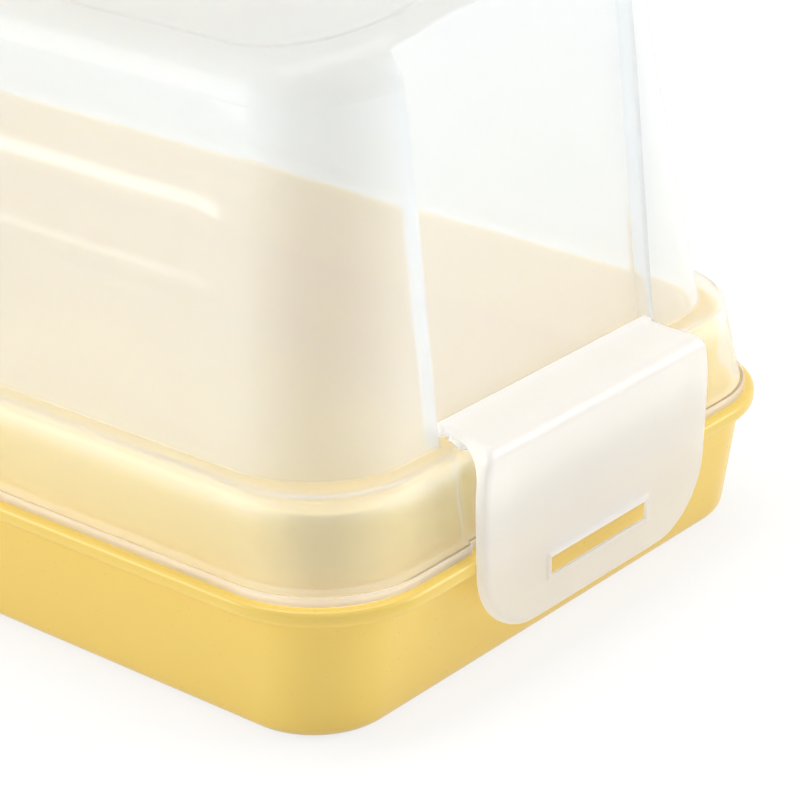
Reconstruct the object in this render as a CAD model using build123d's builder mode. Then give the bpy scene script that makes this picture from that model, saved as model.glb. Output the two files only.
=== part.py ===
from build123d import *

import os
from math import radians, sqrt, tan

# Cake container: a rectangular tray, a clear domed cover and two latches
# Millimetres, +Z up. The origin is under the middle of the tray, the long way is X,
# and a latch hangs on each short end, at +X and at -X.

# Tray: body, rim and the neck that stands up inside the cover
rim_length = 380.0
rim_width = 172.0
rim_corner = 29.0
rim_underside = 29.5
rim_thickness = 4.0
rim_overhang = 5.0
rim_round_below = 1.8
rim_round_above = 1.2
tray_side_lean = 2.5
tray_end_lean = 7.0
tray_corner = 19.0
tray_wall = 2.2
tray_floor = 2.4
tray_bottom_round = 3.5
neck_inset = 9.0
neck_wall = 1.7
neck_height = 18.0
neck_round = 0.7

# Cover: skirt with a clear lip, ledge, and the dome that rises from the ledge
cover_wall = 1.5
skirt_setback = 3.0
skirt_height = 22.4
skirt_lean = 9.5
skirt_corner = 26.0
ledge_round = 1.9
lip_height = 2.2
lip_stand = 0.6
lip_round = 0.25
ledge_width = 4.4
dome_height = 90.0
side_lean = 10.5
end_lean = 6.6
dome_corner = 25.5
dome_top_round = 13.0
crown_radius = 200.0

# Top of the dome: a raised field, set in from the rim's edge, and a sunk panel inside it
field_end_inset = 31.0
field_side_inset = 32.5
field_corner = 24.0
field_rise = 0.5
panel_end_inset = 20.0
panel_side_inset = 16.5
panel_corner = 20.0
panel_depth = 1.2

# Bay in each end of the cover, where the latch lies
bay_width = 76.8
bay_depth = 3.8
skirt_bay_depth = 1.2

# Latch: a flap from the hinge, a hanging plate, and a hook that grips under the rim
latch_side_gap = 0.4
latch_rim_gap = 0.4
latch_depth = 2.7
latch_skin = 1.8
latch_rib = 2.2
latch_bottom = 12.9
latch_bottom_corner = 14.0
latch_throat = 8.0
latch_edge_round = 1.2
latch_flare = 3.6
flare_start = 7.5
flare_round = 4.0
flap_thickness = 2.2
flap_fall = 1.8
flap_crease_round = 2.0
hook_width = 36.0
hook_reach = 2.2
hook_thickness = 1.8
hook_nose = 1.2
hook_gap = 1.4
slot_height = 4.4
slot_frame = 1.3
slot_frame_rise = 0.35

# Hinge of the latch: a barrel on the flap, with a pin at each end in a socket of the bay
hinge_from_wall = 2.8
barrel_radius = 2.3
barrel_above_ledge = 0.6
pin_radius = 0.9
pin_length = 1.1
pin_play = 0.15
socket_depth = 1.0

# Places worked out from the sizes above
seat_height = rim_underside + rim_thickness
ledge_height = seat_height + skirt_height
crest_height = ledge_height + dome_height
field_length = rim_length - 2 * field_end_inset
field_width = rim_width - 2 * field_side_inset
panel_length = field_length - 2 * panel_end_inset
panel_width = field_width - 2 * panel_side_inset
skirt_fall = tan(radians(skirt_lean))
side_fall = tan(radians(side_lean))
end_fall = tan(radians(end_lean))
tray_side_fall = tan(radians(tray_side_lean))
tray_end_fall = tan(radians(tray_end_lean))
far_out = rim_length
least_climb = 0.5
least_outlook = 0.9


def slanted(edge):
    """True for an edge that climbs, as a corner of a leaning block does."""
    return abs(edge.tangent_at().Z) > least_climb


def is_outside_face(face):
    """True for a face of the latch that looks away from the container or up."""
    normal = face.normal_at()
    return normal.X + normal.Z > least_outlook


def skirt_inset(height):
    """How far the skirt's outer face lies inside the rim's edge at a height."""
    return skirt_setback + (height - seat_height) * skirt_fall


def dome_inset(height, fall):
    """How far a wall of the dome lies inside the rim's edge at a height, by its lean."""
    base = skirt_inset(ledge_height) + ledge_width
    return base + (height - ledge_height) * fall


def tray_inset(height, fall):
    """How far a wall of the tray lies inside the rim's edge at a height, by its lean."""
    return rim_overhang + (rim_underside - height) * fall


def tray_block(low, high, shrink, bottom_round):
    """The tray's body as a leaning block, shrunk by a wall for the inside."""
    with BuildPart() as block:
        for height in (low, high):
            with BuildSketch(Plane.XY.offset(height)):
                Rectangle(
                    rim_length - 2 * (tray_inset(height, tray_end_fall) + shrink),
                    rim_width - 2 * (tray_inset(height, tray_side_fall) + shrink),
                )
        loft(ruled=True)
        fillet(block.edges().filter_by(slanted), radius=tray_corner - shrink)
        fillet(block.faces().sort_by(Axis.Z)[0].edges(), radius=bottom_round)
    return block.part


def crown_block(crest, length, width):
    """A block whose top is arched across the width, with its crest at a height."""
    half = width / 2
    sag = crown_radius - sqrt(crown_radius**2 - half**2)
    with BuildPart() as block:
        with BuildSketch(Plane.YZ):
            with BuildLine():
                Polyline((half, crest - sag), (half, 0), (-half, 0), (-half, crest - sag))
                ThreePointArc((-half, crest - sag), (0, crest), (half, crest - sag))
            make_face()
        extrude(amount=length / 2, both=True)
    return block.part


def skirt_block(shrink):
    """The skirt as a leaning block with rounded corners, shrunk by a wall for the inside."""
    top = ledge_height - shrink
    with BuildPart() as block:
        inset = skirt_setback + shrink
        with BuildSketch(Plane.XY.offset(seat_height)):
            Rectangle(rim_length - 2 * inset, rim_width - 2 * inset)
        extrude(amount=top - seat_height, taper=skirt_lean)
        fillet(block.edges().filter_by(slanted), radius=skirt_corner - shrink)
        fillet(block.faces().sort_by(Axis.Z)[-1].edges(), radius=ledge_round - shrink)
    return block.part


def dome_block(shrink):
    """The dome as a leaning block with an arched top, shrunk by a wall for the inside."""
    with BuildPart() as block:
        for height in (ledge_height - cover_wall, crest_height + cover_wall):
            with BuildSketch(Plane.XY.offset(height)):
                Rectangle(
                    rim_length - 2 * (dome_inset(height, end_fall) + shrink),
                    rim_width - 2 * (dome_inset(height, side_fall) + shrink),
                )
        loft(ruled=True)
        fillet(block.edges().filter_by(slanted), radius=dome_corner - shrink)
        add(crown_block(crest_height - shrink, far_out, rim_width), mode=Mode.INTERSECT)
        fillet(block.faces().sort_by(Axis.Z)[-1].edges(), radius=dome_top_round - shrink)
    return block.part


def bay_cutter(shrink):
    """What the bay takes off the +X end: skirt face, ledge and dome wall set back."""
    ledge = ledge_height - shrink
    half_length = rim_length / 2 - shrink
    foot = half_length - skirt_inset(seat_height) - skirt_bay_depth
    brow = half_length - skirt_inset(ledge) - skirt_bay_depth
    wall_low = half_length - dome_inset(ledge, end_fall) - bay_depth
    wall_high = half_length - dome_inset(crest_height, end_fall) - bay_depth
    with BuildPart() as cutter:
        with BuildSketch(Plane.XZ):
            with BuildLine():
                Polyline(
                    (foot, seat_height),
                    (brow, ledge),
                    (wall_low, ledge),
                    (wall_high, crest_height),
                    (far_out, crest_height),
                    (far_out, seat_height),
                    close=True,
                )
            make_face()
        extrude(amount=bay_width / 2 + shrink, both=True)
    return cutter.part


def bell(shrink):
    """Skirt and dome as one solid with the two bays cut, the cover's outside or inside."""
    with BuildPart() as whole:
        add(skirt_block(shrink))
        add(dome_block(shrink))
        cutter = bay_cutter(shrink)
        add(cutter, mode=Mode.SUBTRACT)
        add(cutter.mirror(Plane.YZ), mode=Mode.SUBTRACT)
    return whole.part


def top_panel(shrink):
    """What the sunk panel takes off the top of the dome."""
    with BuildPart() as cut:
        with BuildSketch(Plane.XY.offset(ledge_height)):
            RectangleRounded(
                panel_length + 2 * shrink, panel_width + 2 * shrink, panel_corner + shrink
            )
        extrude(amount=dome_height + field_rise)
        floor = crest_height - shrink - panel_depth
        add(crown_block(floor, far_out, rim_width), mode=Mode.SUBTRACT)
    return cut.part


# Tray
tray_rise = rim_underside + rim_thickness / 2
well_round = tray_bottom_round - tray_wall / 2

with BuildPart() as rim:
    with BuildSketch(Plane.XY.offset(rim_underside)):
        RectangleRounded(rim_length, rim_width, rim_corner)
    extrude(amount=rim_thickness)
    fillet(rim.faces().sort_by(Axis.Z)[0].edges(), radius=rim_round_below)
    fillet(rim.faces().sort_by(Axis.Z)[-1].edges(), radius=rim_round_above)

with BuildPart() as neck:
    with BuildSketch(Plane.XY.offset(rim_underside)):
        RectangleRounded(
            rim_length - 2 * neck_inset, rim_width - 2 * neck_inset, rim_corner - neck_inset
        )
    extrude(amount=rim_thickness + neck_height)

with BuildPart() as well:
    add(tray_block(tray_floor, rim_underside, tray_wall, well_round))
    mouth_inset = neck_inset + neck_wall
    with BuildSketch(Plane.XY.offset(rim_underside)):
        RectangleRounded(
            rim_length - 2 * mouth_inset, rim_width - 2 * mouth_inset, rim_corner - mouth_inset
        )
    extrude(amount=rim_thickness + neck_height)

with BuildPart() as tray_whole:
    add(tray_block(0.0, tray_rise, 0.0, tray_bottom_round))
    add(rim.part)
    add(neck.part)
    add(well.part, mode=Mode.SUBTRACT)
    fillet(tray_whole.faces().sort_by(Axis.Z)[-1].edges(), radius=neck_round)
tray_whole.part.label = "tray"
os.makedirs("parts", exist_ok=True)
export_step(tray_whole.part, "parts/tray.step")

# Cover
lip_inset = skirt_setback - lip_stand
with BuildPart() as lip:
    with BuildSketch(Plane.XY.offset(seat_height)):
        RectangleRounded(
            rim_length - 2 * lip_inset, rim_width - 2 * lip_inset, rim_corner - lip_inset
        )
        with GridLocations(rim_length - 2 * lip_inset, 0, 2, 1):
            Rectangle(2 * skirt_bay_depth, bay_width, mode=Mode.SUBTRACT)
    extrude(amount=lip_height)
    fillet(lip.faces().sort_by(Axis.Z)[-1].edges(), radius=lip_round)

with BuildPart() as field:
    with BuildSketch(Plane.XY.offset(ledge_height)):
        RectangleRounded(field_length, field_width, field_corner)
    extrude(amount=dome_height + field_rise)
    add(crown_block(crest_height + field_rise, far_out, rim_width), mode=Mode.INTERSECT)

hinge_z = ledge_height + barrel_above_ledge + barrel_radius
hinge_x = rim_length / 2 - dome_inset(hinge_z, end_fall) - bay_depth + hinge_from_wall

with BuildPart() as sockets:
    with BuildSketch(Plane.XZ):
        with Locations((hinge_x, hinge_z)):
            Circle(pin_radius + pin_play)
    extrude(amount=bay_width / 2 + socket_depth, both=True)

with BuildPart() as inside:
    add(bell(cover_wall))
    add(top_panel(cover_wall), mode=Mode.SUBTRACT)

with BuildPart() as cover:
    add(bell(0.0))
    add(lip.part)
    add(field.part)
    add(top_panel(0.0), mode=Mode.SUBTRACT)
    add(inside.part, mode=Mode.SUBTRACT)
    add(sockets.part, mode=Mode.SUBTRACT)
    add(sockets.part.mirror(Plane.YZ), mode=Mode.SUBTRACT)
cover.part.label = "cover"
export_step(cover.part, "parts/cover.step")

# Latch at the +X end
plate_back = rim_length / 2 + latch_rim_gap
plate_face = plate_back + latch_depth
flap_top = hinge_z + barrel_radius
flap_under = flap_top - flap_thickness
crease_z = flap_top - flap_fall
flap_half = bay_width / 2 - latch_side_gap
plate_half = flap_half + latch_flare
flare_x = hinge_x + flare_start
hook_top = rim_underside - hook_gap
hook_tip = rim_length / 2 - hook_reach
slot_top = hook_top - hook_thickness
slot_middle = slot_top - slot_height / 2
skin_x = plate_face - latch_skin

with BuildPart() as latch:
    # Side view: flap, crease, plate and the hollow curve under the flap
    with BuildSketch(Plane.XZ) as side_view:
        with BuildLine():
            Polyline(
                (hinge_x, flap_under),
                (hinge_x, flap_top),
                (plate_face, crease_z),
                (plate_face, latch_bottom),
                (plate_back, latch_bottom),
                (plate_back, flap_under - latch_throat),
            )
            RadiusArc(
                (plate_back, flap_under - latch_throat),
                (plate_back - latch_throat, flap_under),
                -latch_throat,
            )
            Line((plate_back - latch_throat, flap_under), (hinge_x, flap_under))
        make_face()
        crease = side_view.vertices().sort_by(lambda v: v.X + v.Y)[-1]
        fillet(crease, radius=flap_crease_round)
    extrude(amount=plate_half, both=True)
    # End view: rounded lower corners
    with BuildSketch(Plane.YZ) as end_view:
        with BuildLine():
            Polyline(
                (-plate_half, latch_bottom),
                (plate_half, latch_bottom),
                (plate_half, crest_height),
                (-plate_half, crest_height),
                close=True,
            )
        make_face()
        fillet(end_view.vertices().group_by(Axis.Y)[0], radius=latch_bottom_corner)
    extrude(amount=far_out, mode=Mode.INTERSECT)
    # From above: as wide as the bay at the hinge, flared out to the plate
    with BuildSketch(Plane.XY) as plan_view:
        with BuildLine():
            Polyline(
                (hinge_x, -flap_half),
                (flare_x, -flap_half),
                (plate_back, -plate_half),
                (far_out, -plate_half),
                (far_out, plate_half),
                (plate_back, plate_half),
                (flare_x, flap_half),
                (hinge_x, flap_half),
                close=True,
            )
        make_face()
        bends = plan_view.vertices().filter_by(lambda v: hinge_x < v.X < far_out)
        fillet(bends, radius=flare_round)
    extrude(amount=crest_height, mode=Mode.INTERSECT)
    # Rounded outer edge all the way round the plate and along the flap
    shell = [face for face in latch.faces() if is_outside_face(face)]
    seen = [edge for face in shell for edge in face.edges()]
    border = [edge for edge in seen if seen.count(edge) == 1]
    outer = [edge for edge in border if edge.center().X > hinge_x + hinge_from_wall]
    fillet(outer, radius=latch_edge_round)
    # Hollow at the back, which leaves a skin with a rib round its edge
    with BuildSketch(Plane.XZ):
        with BuildLine():
            Polyline(
                (skin_x, latch_bottom + latch_rib),
                (skin_x, crease_z - latch_skin),
                (plate_back - latch_throat, flap_under),
                (plate_back - latch_throat, latch_bottom + latch_rib),
                close=True,
            )
        make_face()
    extrude(amount=flap_half - latch_rib, both=True, mode=Mode.SUBTRACT)
    # Raised frame of the slot
    with BuildSketch(Plane.YZ.offset(skin_x)):
        with Locations((0, slot_middle)):
            Rectangle(hook_width + 2 * slot_frame, slot_height + 2 * slot_frame)
    extrude(amount=latch_skin + slot_frame_rise)
    # Hook under the rim, with a slanting nose
    with BuildSketch(Plane.XZ):
        with BuildLine():
            Polyline(
                (skin_x, slot_top),
                (hook_tip + hook_nose, slot_top),
                (hook_tip, hook_top - hook_nose),
                (hook_tip, hook_top),
                (skin_x, hook_top),
                close=True,
            )
        make_face()
    extrude(amount=hook_width / 2, both=True)
    # Slot below the hook, right through the plate
    with BuildSketch(Plane.YZ.offset(hook_tip)):
        with Locations((0, slot_middle)):
            Rectangle(hook_width, slot_height)
    extrude(amount=plate_face, mode=Mode.SUBTRACT)
    # Barrel along the inner edge of the flap, and a pin out of each end of it
    with BuildSketch(Plane.XZ):
        with Locations((hinge_x, hinge_z)):
            Circle(barrel_radius)
    extrude(amount=flap_half, both=True)
    with BuildSketch(Plane.XZ):
        with Locations((hinge_x, hinge_z)):
            Circle(pin_radius)
    extrude(amount=flap_half + pin_length, both=True)
latch.part.label = "right_latch"
export_step(latch.part, "parts/right_latch.step")

# The same latch at the other end, turned half way round
left_latch = latch.part.rotate(Axis.Z, 180)
left_latch.label = "left_latch"
export_step(left_latch, "parts/left_latch.step")
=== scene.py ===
"""Cake container: finishes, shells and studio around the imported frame."""

import logging
import math
from dataclasses import dataclass
from enum import Enum

import bmesh
import bpy
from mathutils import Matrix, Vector


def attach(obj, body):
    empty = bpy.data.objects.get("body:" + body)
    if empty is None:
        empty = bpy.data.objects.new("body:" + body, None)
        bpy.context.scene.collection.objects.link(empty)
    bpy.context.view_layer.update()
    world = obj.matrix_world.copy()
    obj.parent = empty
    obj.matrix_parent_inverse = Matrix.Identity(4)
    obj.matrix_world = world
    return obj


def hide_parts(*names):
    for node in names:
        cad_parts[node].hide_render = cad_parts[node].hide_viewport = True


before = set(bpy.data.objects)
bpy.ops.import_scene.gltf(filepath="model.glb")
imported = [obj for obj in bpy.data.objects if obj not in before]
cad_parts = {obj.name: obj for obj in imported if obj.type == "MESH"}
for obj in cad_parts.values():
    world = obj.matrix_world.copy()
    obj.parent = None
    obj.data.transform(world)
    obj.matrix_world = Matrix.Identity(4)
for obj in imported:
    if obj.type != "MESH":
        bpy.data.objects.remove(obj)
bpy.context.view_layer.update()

MM = 0.001
WHITE = "#FFFFFF"
SHARP_ANGLE = math.radians(42)
TOLERANCE_MM = 0.01
# Octaves of the slow colour clouds and of the fine grain
CLOUD_DETAIL = 2.0
GRAIN_DETAIL = 3.0
# Outward direction along X from which on a point counts as part of the end
END_SIDE = 0.5
# Diffuse depth below which a ray hasn't been scattered yet
BEFORE_SCATTER = 0.5
log = logging.getLogger("cake_container")


class Shader(Enum):
    """Node types that the finishes are built from."""

    OUTPUT = "ShaderNodeOutputMaterial"
    PRINCIPLED = "ShaderNodeBsdfPrincipled"
    TRANSPARENT = "ShaderNodeBsdfTransparent"
    TRANSLUCENT = "ShaderNodeBsdfTranslucent"
    EMISSION = "ShaderNodeEmission"
    MIX = "ShaderNodeMixShader"
    BACKGROUND = "ShaderNodeBackground"
    WORLD_OUTPUT = "ShaderNodeOutputWorld"
    LIGHT_PATH = "ShaderNodeLightPath"
    COORDINATES = "ShaderNodeTexCoord"
    NOISE = "ShaderNodeTexNoise"
    BUMP = "ShaderNodeBump"
    RAMP = "ShaderNodeMapRange"
    MIX_COLOUR = "ShaderNodeMixRGB"
    MATHS = "ShaderNodeMath"


class Sweep(Enum):
    """Geometry node types that sweep the rim round the tray."""

    INPUT = "NodeGroupInput"
    OBLONG = "GeometryNodeCurvePrimitiveQuadrilateral"
    FILLET = "GeometryNodeFilletCurve"
    MESH_TO_CURVE = "GeometryNodeMeshToCurve"
    CURVE_TO_MESH = "GeometryNodeCurveToMesh"
    REALIZE = "GeometryNodeRealizeInstances"
    SET_MATERIAL = "GeometryNodeSetMaterial"
    OUTPUT = "NodeGroupOutput"


def linear(hex_colour: str) -> tuple[float, float, float, float]:
    """Turns an sRGB hex colour into the linear colour that a shader takes.

    Args:
        hex_colour: Six hex digits after a hash sign.

    Returns:
        Red, green, blue and an alpha of one.
    """
    # The sRGB curve: a straight toe, then a power
    channels = []
    for start in (1, 3, 5):
        value = int(hex_colour[start:start + 2], 16) / 255
        if value <= 0.04045:
            channels.append(value / 12.92)
        else:
            channels.append(((value + 0.055) / 1.055) ** 2.4)
    return (*channels, 1.0)


def add_node(
    tree: bpy.types.NodeTree, kind: Enum, settings: dict | None = None, **inputs: object,
) -> bpy.types.Node:
    """Adds a node, sets its properties, and sets or links its inputs.

    Args:
        tree: The node tree that gets the node.
        kind: What the node is.
        settings: Properties of the node by name.
        **inputs: Sockets by name, with underscores for spaces, or by place as slot_0, slot_1 and
            so on. A value is set and a socket is linked.

    Returns:
        The new node.
    """
    node = tree.nodes.new(kind.value)
    for name, value in (settings or {}).items():
        setattr(node, name, value)
    for name, value in inputs.items():
        if name.startswith("slot_"):
            socket = node.inputs[int(name[len("slot_"):])]
        else:
            socket = node.inputs[name.replace("_", " ")]
        if isinstance(value, bpy.types.NodeSocket):
            tree.links.new(value, socket)
        else:
            socket.default_value = value
    return node


def new_material(name: str) -> tuple[bpy.types.Material, bpy.types.NodeTree]:
    """Makes an empty node material.

    Args:
        name: What the material is called.

    Returns:
        The material and its tree.
    """
    material = bpy.data.materials.new(name)
    material.use_nodes = True
    material.node_tree.nodes.clear()
    return material, material.node_tree


@dataclass(frozen=True)
class MouldedFinish:
    """Injection moulded plastic: what every piece of the container is made of.

    Attributes:
        name: Common name of the plastic, with its colour or clearness.
        colour: Main sRGB colour.
        second_colour: sRGB colour of the slow cloudy variation in the melt.
        roughness: Roughness between the smoothest and the dullest spots, on average.
        roughness_spread: How far the roughness strays from that.
        grain_mm: Spacing of the mould's texture as it is drawn.
        grain_depth_mm: Depth of that texture.
        cloud_mm: Size of the colour variation.
        ior: Index of refraction.
        transmission: Share of light that passes each surface.
        shadow_clearness: Share of light that a shadow ray carries through each surface.
        translucence: Share of light that the haze scatters on through each surface.
    """

    name: str
    colour: str
    second_colour: str
    roughness: float
    roughness_spread: float
    grain_mm: float
    grain_depth_mm: float
    cloud_mm: float
    ior: float
    transmission: float
    shadow_clearness: float
    translucence: float = 0.0

    def build(self) -> bpy.types.Material:
        """Builds the node material.

        Returns:
            The material.
        """
        material, tree = new_material(self.name)
        place = add_node(tree, Shader.COORDINATES).outputs["Object"]
        clouds = add_node(
            tree, Shader.NOISE, Vector=place, Scale=1 / (self.cloud_mm * MM), Detail=CLOUD_DETAIL,
        )
        colour = add_node(
            tree, Shader.MIX_COLOUR, Fac=clouds.outputs["Fac"],
            Color1=linear(self.colour), Color2=linear(self.second_colour),
        )
        grain = add_node(
            tree, Shader.NOISE, Vector=place, Scale=1 / (self.grain_mm * MM), Detail=GRAIN_DETAIL,
        )
        rough = add_node(
            tree, Shader.RAMP, Value=grain.outputs["Fac"],
            To_Min=self.roughness - self.roughness_spread, To_Max=self.roughness + self.roughness_spread,
        )
        bump = add_node(
            tree, Shader.BUMP, Height=grain.outputs["Fac"],
            Distance=self.grain_depth_mm * MM, Strength=1.0,
        )
        plastic = add_node(
            tree, Shader.PRINCIPLED, Base_Color=colour.outputs["Color"],
            Roughness=rough.outputs["Result"], Normal=bump.outputs["Normal"],
            IOR=self.ior, Transmission_Weight=self.transmission,
        )
        surface = plastic.outputs["BSDF"]
        if self.translucence > 0:
            haze = add_node(tree, Shader.TRANSLUCENT, Color=colour.outputs["Color"])
            surface = add_node(
                tree, Shader.MIX, slot_0=self.translucence, slot_1=surface, slot_2=haze.outputs["BSDF"],
            ).outputs["Shader"]
        if self.shadow_clearness > 0:
            surface = self._let_light_in(tree, surface)
        add_node(tree, Shader.OUTPUT, Surface=surface)
        return material

    def _let_light_in(
        self, tree: bpy.types.NodeTree, surface: bpy.types.NodeSocket,
    ) -> bpy.types.NodeSocket:
        """Lets shadow rays through, as the clear wall lets the light in.

        Args:
            tree: The material's tree.
            surface: The plastic's own shader.

        Returns:
            The shader to show.
        """
        path = add_node(tree, Shader.LIGHT_PATH)
        share = add_node(
            tree, Shader.MATHS, {"operation": "MULTIPLY"},
            slot_0=path.outputs["Is Shadow Ray"], slot_1=self.shadow_clearness,
        )
        clear = add_node(tree, Shader.TRANSPARENT)
        mixed = add_node(
            tree, Shader.MIX, slot_0=share.outputs["Value"], slot_1=surface, slot_2=clear.outputs["BSDF"],
        )
        return mixed.outputs["Shader"]


# Opaque polypropylene, injection moulded with a satin texture of about 0.1 mm, which is drawn at
# 0.9 mm so that it shows: soft broad highlights
TRAY_PLASTIC = MouldedFinish(
    name="yellow_polypropylene", colour="#E9CA66", second_colour="#E6C661", roughness=0.28,
    roughness_spread=0.015, grain_mm=0.9, grain_depth_mm=0.0035, cloud_mm=60.0, ior=1.49,
    transmission=0.0, shadow_clearness=0.0,
)
# Clear polypropylene, injection moulded in a polished mould: see-through with a white haze and a
# faint waviness, drawn at 6 mm. The real plastic's index of refraction is about 1.49. The clear
# pieces have 1.25, because the walls' edges then stay light, as in the photograph.
DOME_PLASTIC = MouldedFinish(
    name="hazy_polypropylene", colour="#EDF0F2", second_colour="#EAEDF0", roughness=0.035,
    roughness_spread=0.005, grain_mm=6.0, grain_depth_mm=0.004, cloud_mm=50.0, ior=1.25,
    transmission=0.75, shadow_clearness=0.91, translucence=0.30,
)
# The same plastic at the skirt, where it looks clearer: the yellow neck shows through
# Partly painted shade: the skirt is clearer than the dome because its haze, against the neck, gets less
# light
SKIRT_PLASTIC = MouldedFinish(
    name="clear_polypropylene_painted_shade", colour="#F5F8FA", second_colour="#F2F5F8", roughness=0.05,
    roughness_spread=0.01, grain_mm=6.0, grain_depth_mm=0.004, cloud_mm=50.0, ior=1.25,
    transmission=0.86, shadow_clearness=1.0, translucence=0.29,
)
# The same plastic at the thick lip, where the haze adds up to a whitish band
LIP_PLASTIC = MouldedFinish(
    name="whitish_polypropylene", colour="#FDFDFD", second_colour="#FAFAFB", roughness=0.12,
    roughness_spread=0.02, grain_mm=6.0, grain_depth_mm=0.004, cloud_mm=50.0, ior=1.25,
    transmission=0.50, shadow_clearness=1.0, translucence=0.46,
)
# Natural polypropylene, injection moulded: milky, light shines through it without an image. Its
# mould texture of about 0.1 mm is drawn at 1.2 mm so that it shows.
LATCH_PLASTIC = MouldedFinish(
    name="milky_polypropylene", colour="#F7F6F4", second_colour="#F4F3F1", roughness=0.30,
    roughness_spread=0.04, grain_mm=1.2, grain_depth_mm=0.008, cloud_mm=20.0, ior=1.49,
    transmission=0.46, shadow_clearness=0.75, translucence=0.30,
)


def dress(node: bpy.types.Object, material: bpy.types.Material) -> None:
    """Puts one material on all of a piece."""
    node.data.materials.clear()
    node.data.materials.append(material)


@dataclass(frozen=True)
class ContainerSizes:
    """Sizes that the tray, the cover and the latches share, in millimetres and degrees.

    Attributes:
        rim_length: Length over the rim.
        rim_width: Width over the rim.
        rim_corner: Corner radius of the rim.
        rim_underside: Height of the rim's underside.
        rim_thickness: Height of the rim.
        skirt_setback: How far the skirt stands back from the rim's edge.
        skirt_height: Height of the skirt above the rim.
        skirt_lean: Lean of the skirt.
        ledge_width: Width of the ledge between skirt and dome.
        dome_height: Height of the dome above the ledge.
        side_lean: Lean of the dome's long walls.
        end_lean: Lean of the dome's end walls.
        crown_radius: Radius of the arch across the top.
        bay_half: Half the width of the latch's bay.
        bay_depth: Depth of the bay in the dome.
        skirt_bay_depth: Depth of the bay in the skirt.
    """

    rim_length: float = 380.0
    rim_width: float = 172.0
    rim_corner: float = 29.0
    rim_underside: float = 29.5
    rim_thickness: float = 4.0
    skirt_setback: float = 3.0
    skirt_height: float = 22.4
    skirt_lean: float = 9.5
    ledge_width: float = 4.4
    dome_height: float = 90.0
    side_lean: float = 10.5
    end_lean: float = 6.6
    crown_radius: float = 200.0
    bay_half: float = 38.4
    bay_depth: float = 3.8
    skirt_bay_depth: float = 1.2

    @property
    def seat(self) -> float:
        """Height of the rim's top, where the cover stands."""
        return self.rim_underside + self.rim_thickness

    @property
    def ledge(self) -> float:
        """Height of the cover's ledge."""
        return self.seat + self.skirt_height

    @property
    def crest(self) -> float:
        """Height of the middle of the dome's top."""
        return self.ledge + self.dome_height

    @property
    def side_fall(self) -> float:
        """Slope of the dome's long walls."""
        return math.tan(math.radians(self.side_lean))

    @property
    def end_fall(self) -> float:
        """Slope of the dome's end walls."""
        return math.tan(math.radians(self.end_lean))

    def skirt_inset(self, height: float) -> float:
        """How far the skirt lies inside the rim's edge at a height."""
        return self.skirt_setback + (height - self.seat) * math.tan(math.radians(self.skirt_lean))

    def dome_inset(self, height: float, fall: float) -> float:
        """How far a wall of the dome lies inside the rim's edge at a height."""
        return self.skirt_inset(self.ledge) + self.ledge_width + (height - self.ledge) * fall

    def crown(self, across: float) -> float:
        """How far the arched top lies below its crest at a place across the width."""
        return self.crown_radius - math.sqrt(self.crown_radius**2 - across**2)


@dataclass(frozen=True)
class Oblong:
    """A rectangle with rounded corners, centred on the origin.

    Attributes:
        half_length: Half its length.
        half_width: Half its width.
        corner: Radius of its corners.
    """

    half_length: float
    half_width: float
    corner: float

    def shrunk(self, inset: float, least_corner: float = 3.0) -> "Oblong":
        """The same oblong, made smaller all round."""
        corner = max(self.corner - inset, least_corner)
        return Oblong(self.half_length - inset, self.half_width - inset, corner)

    def depth_of(self, x: float, y: float) -> float:
        """How far a point of the first quarter lies inside the outline.

        Args:
            x: Place along the length.
            y: Place across the width.

        Returns:
            The distance from the outline, which is below nought outside it.
        """
        over_x = x - (self.half_length - self.corner)
        over_y = y - (self.half_width - self.corner)
        if over_x > 0 and over_y > 0:
            return self.corner - math.hypot(over_x, over_y)
        return min(self.half_length - x, self.half_width - y)


@dataclass(frozen=True)
class Station:
    """One point of an outline in the first quarter, with its outward direction.

    Attributes:
        x: Place along the length.
        y: Place across the width.
        out_x: Outward direction along the length.
        out_y: Outward direction across the width.
    """

    x: float
    y: float
    out_x: float
    out_y: float


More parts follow.
